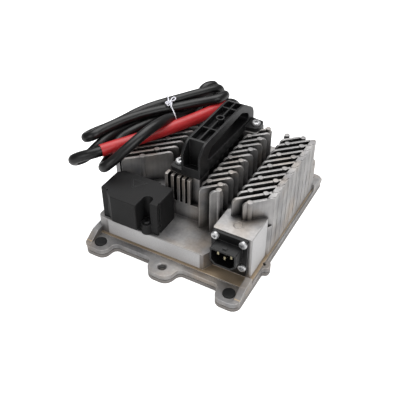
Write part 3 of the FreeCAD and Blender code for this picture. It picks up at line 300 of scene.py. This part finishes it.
for name, (shades, roughness, grain, depth, members) in BLACK_MOULDINGS.items():
    moulding, tree, shader, place = finish(name, roughness, ior=MOULDING_IOR)
    cloud = node(tree, "ShaderNodeTexNoise", {"Vector": place, "Scale": 1 / (14 * MM), "Detail": 4.0})
    tone = node(tree, "ShaderNodeMix", {0: cloud.outputs["Fac"], 6: linear(shades[0]),
                7: linear(shades[1])}, data_type="RGBA")
    rounded = node(tree, "ShaderNodeBevel", {"Radius": 0.7 * MM}, samples=6)
    surface = node(tree, "ShaderNodeNewGeometry")
    sameness = node(tree, "ShaderNodeVectorMath", {0: rounded.outputs[0], 1: surface.outputs["Normal"]},
                    operation="DOT_PRODUCT")
    # Edges are lightened towards mid grey: partly rubbed wear and partly a painted highlight.
    edge_wear_and_highlight = node(tree, "ShaderNodeMapRange", {"Value": sameness.outputs["Value"], "From Min": 0.985,
                "From Max": 0.86, "To Max": 0.5})
    rubbed_and_highlit_edges = node(tree, "ShaderNodeMix", {0: edge_wear_and_highlight.outputs[0], 6: tone.outputs[2], 7: linear("#5a5a5b")},
                  data_type="RGBA")
    tree.links.new(rubbed_and_highlit_edges.outputs[2], shader.inputs["Base Color"])
    grit = node(tree, "ShaderNodeTexNoise", {"Vector": place, "Scale": 1 / (grain * MM), "Detail": 2.0})
    relief = node(tree, "ShaderNodeBump", {"Height": grit.outputs["Fac"], "Strength": depth,
                  "Distance": 0.2 * MM, "Normal": rounded.outputs[0]})
    tree.links.new(relief.outputs[0], shader.inputs["Normal"])
    dress(moulding, *members)


# Base plate: aluminium sheet, sheared to the outline of the flange and screwed on from
# below. Aluminium, rolled: darker grey than the casting, with lines from the rolls, drawn
# coarser than they are so that they show.
sheet, tree, shader, place = finish("aluminium_rolled_sheet", roughness=0.42, metallic=0.8)
rolled_place = node(tree, "ShaderNodeMapping", {"Vector": place, "Scale": (1.0, 0.03, 1.0)})
rolling = node(tree, "ShaderNodeTexNoise", {"Vector": rolled_place.outputs[0], "Scale": 1 / (0.9 * MM)})
tone = node(tree, "ShaderNodeMix", {0: rolling.outputs["Fac"], 6: linear("#6f6b69"),
            7: linear("#a39e9a")}, data_type="RGBA")
tree.links.new(tone.outputs[2], shader.inputs["Base Color"])
relief = node(tree, "ShaderNodeBump", {"Height": rolling.outputs["Fac"], "Strength": 0.2,
              "Distance": 0.15 * MM})
tree.links.new(relief.outputs[0], shader.inputs["Normal"])
dress(sheet, "base_plate")


# Screws and nuts. Steel, zinc plated: near-white metal with small hard gleams. The screw
# in the terminal cover is blackened steel, dark with the same gleams.
zinc, *_ = mottled("steel_zinc_plated", ("#a4a5a7", "#dededf"), patch=1.5, roughness=0.36,
                    metallic=0.8)
dress(zinc, "base_screws", "inlet_screws", "stud_nuts", "handle_screws", "board_screws")
blackened, *_ = mottled("steel_blackened", ("#141414", "#2e2e30"), patch=1.5, roughness=0.35,
                         metallic=0.6)
dress(blackened, "cover_screw")


# Name plates: self-adhesive polyester foil, metallised and left bare. A pale neutral
# silver with a fine sparkle from the grain of the casting under it.
foil, tree, shader, place, sparkle = mottled("polyester_metallised_foil", ("#adacad", "#d3d2d2"),
                                             patch=1.2, roughness=0.5, metallic=0.2, detail=3.0)
relief = node(tree, "ShaderNodeBump", {"Height": sparkle, "Strength": 0.25, "Distance": 0.15 * MM})
tree.links.new(relief.outputs[0], shader.inputs["Normal"])
dress(foil, "front_label", "side_label")


# Battery leads: two 11 mm stranded copper leads in an extruded rubber jacket. They come up
# out of elbow glands behind the casting, lie folded in a hank on the fins and end in ring
# terminals that hang behind it. Their lengths are in metres, their other sizes in mm.
LEAD_D = 11.0
HANK_MID = (-83.0, 26.0)
HANK_ANGLE = math.radians(23.5)
NEGATIVE_EXIT = (-42.0, 100.05, 63.0)
POSITIVE_EXIT = (-63.0, 100.05, 63.0)
JACKET_SHADES = ("#060607", "#181818")
CORD_ORDER = 3
CORD_STEPS = 10
CORD_SIDES = 7


# A place in the hank: along it from front to rear, across it to the right, and its height.
def in_hank(along, across, height):
    sine, cosine = math.sin(HANK_ANGLE), math.cos(HANK_ANGLE)
    return (HANK_MID[0] + sine * along + cosine * across,
            HANK_MID[1] + cosine * along - sine * across, height)


# A curve's box counts each point's radius in metres, so the radius holds the thickness.
def round_wire(name, route, thickness, steps=CORD_STEPS):
    curve = bpy.data.curves.new(name, "CURVE")
    curve.dimensions = "3D"
    spline = curve.splines.new("NURBS")
    spline.points.add(len(route) - 1)
    for point, place in zip(spline.points, route):
        point.co = (*(Vector(place) * MM), 1.0)
        point.radius = thickness / 2 * MM
    spline.order_u = CORD_ORDER
    spline.use_endpoint_u = True
    spline.resolution_u = steps
    curve.bevel_depth = 1.0
    curve.bevel_resolution = CORD_SIDES
    curve.use_fill_caps = True
    piece = bpy.data.objects.new(name, curve)
    scene.collection.objects.link(piece)
    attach(piece, "root")
    return piece


# From the gland over the rear bend, along the top of the hank to its front fold, back
# under and up into the upper row, and over the rear end down to the ring terminal.
NEGATIVE_ROUTE = [
    NEGATIVE_EXIT, (-42, 100.3, 76), (-38, 101.5, 90), (-31.5, 92.2, 99.4),
    in_hank(66, 26.4, 101), in_hank(53, 18.6, 98.8), in_hank(38, 12.3, 98),
    in_hank(22, 8.6, 98), in_hank(6, 2.6, 98.4), in_hank(-14, -2.2, 98.4),
    in_hank(-36, -4.4, 98.3), in_hank(-56, -4.8, 97.3), in_hank(-70, -4.6, 96),
    in_hank(-79, -3.2, 95), in_hank(-85, -9.8, 91.3), in_hank(-78, -17, 87.4),
    in_hank(-67, -17, 88.3), in_hank(-52, -16, 89), in_hank(-34, -14.3, 92),
    in_hank(-14, -12, 96.8), in_hank(8, -8.6, 98.6), in_hank(30, -5.2, 98.6),
    in_hank(54, -1.8, 98.6), in_hank(74, 1.5, 98.4), in_hank(87, 1.0, 97),
    in_hank(93.5, -2.0, 88), (-50, 111, 76), (-50, 111, 64),
]
# From its gland forward through the lower row, out to the right over the red sleeve,
# round the front loop and back in, a hidden rear fold, and forward to the free end.
POSITIVE_ROUTE = [
    POSITIVE_EXIT, (-63, 100.05, 75), in_hank(86.5, -11, 86), in_hank(91, -9.5, 95.5),
    in_hank(76, -9, 98.5), in_hank(67, -8.5, 91.5), in_hank(59.5, 3, 88.5), in_hank(47, 9.2, 88.5),
    in_hank(32, 8.6, 88.5), in_hank(19, 12, 89), in_hank(5, 18.9, 96), in_hank(-10, 27, 102),
    (-62.5, -16, 105.5), (-65.5, -33, 103), (-71, -48, 97), (-78, -62, 89), (-86, -70, 81),
    (-95, -63, 73), (-97, -45, 76), in_hank(-54, 3.7, 84), in_hank(-36, 5, 88.5),
    in_hank(-14, 3, 88.5), in_hank(12, -3.5, 88.5), in_hank(34, -4, 88.5), in_hank(46, -4, 88.5),
    in_hank(56, -4.5, 88.5), in_hank(56, -14, 88.5), in_hank(44, -15, 88.5), in_hank(26, -13.5, 88.5),
    in_hank(4, -12, 88.5), in_hank(-18, -7.5, 88.5), in_hank(-40, -5.2, 88.5), in_hank(-58, -3, 88.5),
    (-111, -46, 85.5), (-118, -59, 76), (-127, -67, 72.5), (-124.5, -74.5, 80), (-114, -71, 86),
    (-103, -63.5, 88.5), (-93, -47.5, 89.7), (-79, -25, 90), (-61.5, 6, 90), (-46, 38, 90),
    (-32.5, 72, 90), (-29, 93, 89), (-25.5, 107, 81), (-24, 113, 67), (-24, 113, 53),
]

negative_lead = round_wire("negative_lead", NEGATIVE_ROUTE, LEAD_D)
positive_lead = round_wire("positive_lead", POSITIVE_ROUTE, LEAD_D)
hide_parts("negative_lead_feed", "negative_lead_end", "lead_hank")
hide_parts("positive_lead_feed", "positive_lead_loop", "positive_lead_end")

# Rubber, extruded: a deep satin black with grey dust in soft patches and the faint
# unevenness of the strands below, so highlights along the lead waver a little.
jacket, tree, shader, place = finish("rubber_extruded_jacket", roughness=0.36, ior=1.44)
dust = node(tree, "ShaderNodeTexNoise", {"Vector": place, "Scale": 1 / (11 * MM), "Detail": 5.0})
dusty = node(tree, "ShaderNodeMapRange", {"Value": dust.outputs["Fac"], "From Min": 0.45, "From Max": 0.8})
tone = node(tree, "ShaderNodeMix", {0: dusty.outputs[0], 6: linear(JACKET_SHADES[0]),
            7: linear(JACKET_SHADES[1])}, data_type="RGBA")
tree.links.new(tone.outputs[2], shader.inputs["Base Color"])
skin = node(tree, "ShaderNodeTexNoise", {"Vector": place, "Scale": 1 / (2.2 * MM), "Detail": 3.0})
relief = node(tree, "ShaderNodeBump", {"Height": skin.outputs["Fac"], "Strength": 0.2,
              "Distance": 0.2 * MM})
tree.links.new(relief.outputs[0], shader.inputs["Normal"])
for piece in (negative_lead, positive_lead):
    piece.data.materials.append(jacket)


# Ring terminals: stamped copper tube pressed onto the ends of the leads and tinned.
# Tin gives a soft, slightly cloudy silver.
tin, *_ = mottled("copper_stamped_tinned", ("#a9a8a4", "#dcdbd7"), patch=3, roughness=0.34,
                   metallic=0.9)
dress(tin, "positive_terminal", "negative_terminal")


# Red sleeve: a PVC tube pushed loosely over the positive lead. PVC, extruded: an even
# warm red with shallow waves and a soft broad shine.
pvc, tree, shader, place, _ = mottled("pvc_extruded_sleeve", ("#9e1418", "#c52a2d"), patch=18,
                                      roughness=0.42, ior=1.53)
waves = node(tree, "ShaderNodeTexNoise", {"Vector": place, "Scale": 1 / (6 * MM), "Detail": 2.0})
relief = node(tree, "ShaderNodeBump", {"Height": waves.outputs["Fac"], "Strength": 0.4,
              "Distance": 0.5 * MM})
tree.links.new(relief.outputs[0], shader.inputs["Normal"])
dress(pvc, "red_sleeve")


# Tie: a thin steel wire under white paper, wrapped round the hank and twisted shut on
# top, with a small bow and two loose tails. Points are in the hank: along, across, height.
TIE_D = 1.3
TIE_ROUND = [
    (15.0, 2.5, 105.2), (12.0, 11.0, 103.7), (9.5, 20.0, 101.0), (9.5, 23.0, 96.0), (11.0, 20.8, 89.0),
    (14.0, 11.0, 83.6), (16.0, 0.0, 82.6), (19.0, -12.0, 82.6), (21.0, -19.0, 85.0), (22.0, -19.8, 90.0),
    (22.5, -14.5, 97.5), (22.0, -11.0, 102.9), (19.8, -6.5, 105.0), (16.5, 0.5, 105.4), (13.0, 6.0, 105.4),
]
TIE_BOW = [
    (21.0, -9.0, 106.6), (17.0, -1.5, 106.6), (13.5, 3.5, 106.4), (9.5, 6.0, 105.6), (9.0, 9.0, 104.6),
    (12.5, 9.0, 105.6), (15.0, 5.5, 106.8), (19.0, 3.0, 108.4), (22.8, 2.6, 108.2), (22.6, 5.4, 107.2),
    (18.0, 6.6, 106.6), (14.0, 5.5, 107.2), (11.0, 3.4, 107.0), (8.6, 4.6, 106.0), (10.0, 7.6, 106.2),
    (13.0, 7.0, 107.6), (15.2, 8.2, 106.4), (12.6, 10.4, 104.8), (10.6, 12.6, 103.9),
]

tie_loop = round_wire("tie_loop", [in_hank(*spot) for spot in TIE_ROUND], TIE_D, steps=8)
tie_bow = round_wire("tie_bow", [in_hank(*spot) for spot in TIE_BOW], TIE_D, steps=6)
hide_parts("hank_tie")

# Paper, wound: matt white, with a faint bluish painted shade in its creases.
paper_wrap, tree, shader, place, crease = mottled("paper_wound_tie", ("#c9c9da", "#ffffff"), patch=1.1,
                                                  roughness=0.6, detail=3.0)
relief = node(tree, "ShaderNodeBump", {"Height": crease, "Strength": 0.5, "Distance": 0.3 * MM})
tree.links.new(relief.outputs[0], shader.inputs["Normal"])
for piece in (tie_loop, tie_bow):
    piece.data.materials.append(paper_wrap)


# Studio: a white paper floor and a plain surround that the camera sees as white, a large
# soft box overhead, a weaker one to the right and a faint one in front. Places, aims and
# sizes are in metres here, and each lamp's last number is its power in watts.
FLOOR_HALF = 4.0
FLOOR_GLOW_SEEN = 0.75
FLOOR_GLOW_MIRRORED = 0.08
SURROUND = 0.26
LAMPS = {
    "soft_box_over": ((-0.1, 0.3, 1.0), (0.0, 0.0, 0.04), 1.0, 11.4),
    "soft_box_right": ((0.95, -0.3, 0.6), (0.0, 0.0, 0.05), 0.6, 4.5),
    "soft_box_front": ((0.0, -1.0, 0.5), (0.0, 0.0, 0.05), 0.6, 2.8),
}

floor_mesh = bpy.data.meshes.new("floor")
builder = bmesh.new()
bmesh.ops.create_grid(builder, x_segments=1, y_segments=1, size=FLOOR_HALF)
builder.to_mesh(floor_mesh)
builder.free()
floor = bpy.data.objects.new("floor", floor_mesh)
scene.collection.objects.link(floor)
paper, tree, shader, _ = finish("paper_white_floor", roughness=0.9)
seen = node(tree, "ShaderNodeLightPath")
by_camera = node(tree, "ShaderNodeMath", {0: seen.outputs["Is Camera Ray"], 1: FLOOR_GLOW_SEEN},
                 operation="MULTIPLY")
glow = node(tree, "ShaderNodeMath", {0: seen.outputs["Is Glossy Ray"], 1: FLOOR_GLOW_MIRRORED,
            2: by_camera.outputs[0]}, operation="MULTIPLY_ADD")
shader.inputs["Base Color"].default_value = linear("#f2f2f2")
shader.inputs["Emission Color"].default_value = (1, 1, 1, 1)
tree.links.new(glow.outputs[0], shader.inputs["Emission Strength"])
floor_mesh.materials.append(paper)

world = bpy.data.worlds.new("studio")
scene.world = world
world.use_nodes = True
tree = world.node_tree
tree.nodes.clear()
seen = node(tree, "ShaderNodeLightPath")
dim = node(tree, "ShaderNodeBackground", {"Color": (1, 1, 1, 1), "Strength": SURROUND})
bright = node(tree, "ShaderNodeBackground", {"Color": (1, 1, 1, 1), "Strength": 1.0})
chosen = node(tree, "ShaderNodeMixShader", {0: seen.outputs["Is Camera Ray"], 1: dim.outputs[0],
              2: bright.outputs[0]})
node(tree, "ShaderNodeOutputWorld", {"Surface": chosen.outputs[0]})

for name, (place, aim, size, power) in LAMPS.items():
    lamp = bpy.data.objects.new(name, bpy.data.lights.new(name, "AREA"))
    lamp.data.size = size
    lamp.data.energy = power
    lamp.location = place
    lamp.rotation_euler = (Vector(aim) - Vector(place)).to_track_quat("-Z", "Y").to_euler()
    scene.collection.objects.link(lamp)

scene.view_settings.view_transform = "Standard"
bpy.context.view_layer.update()
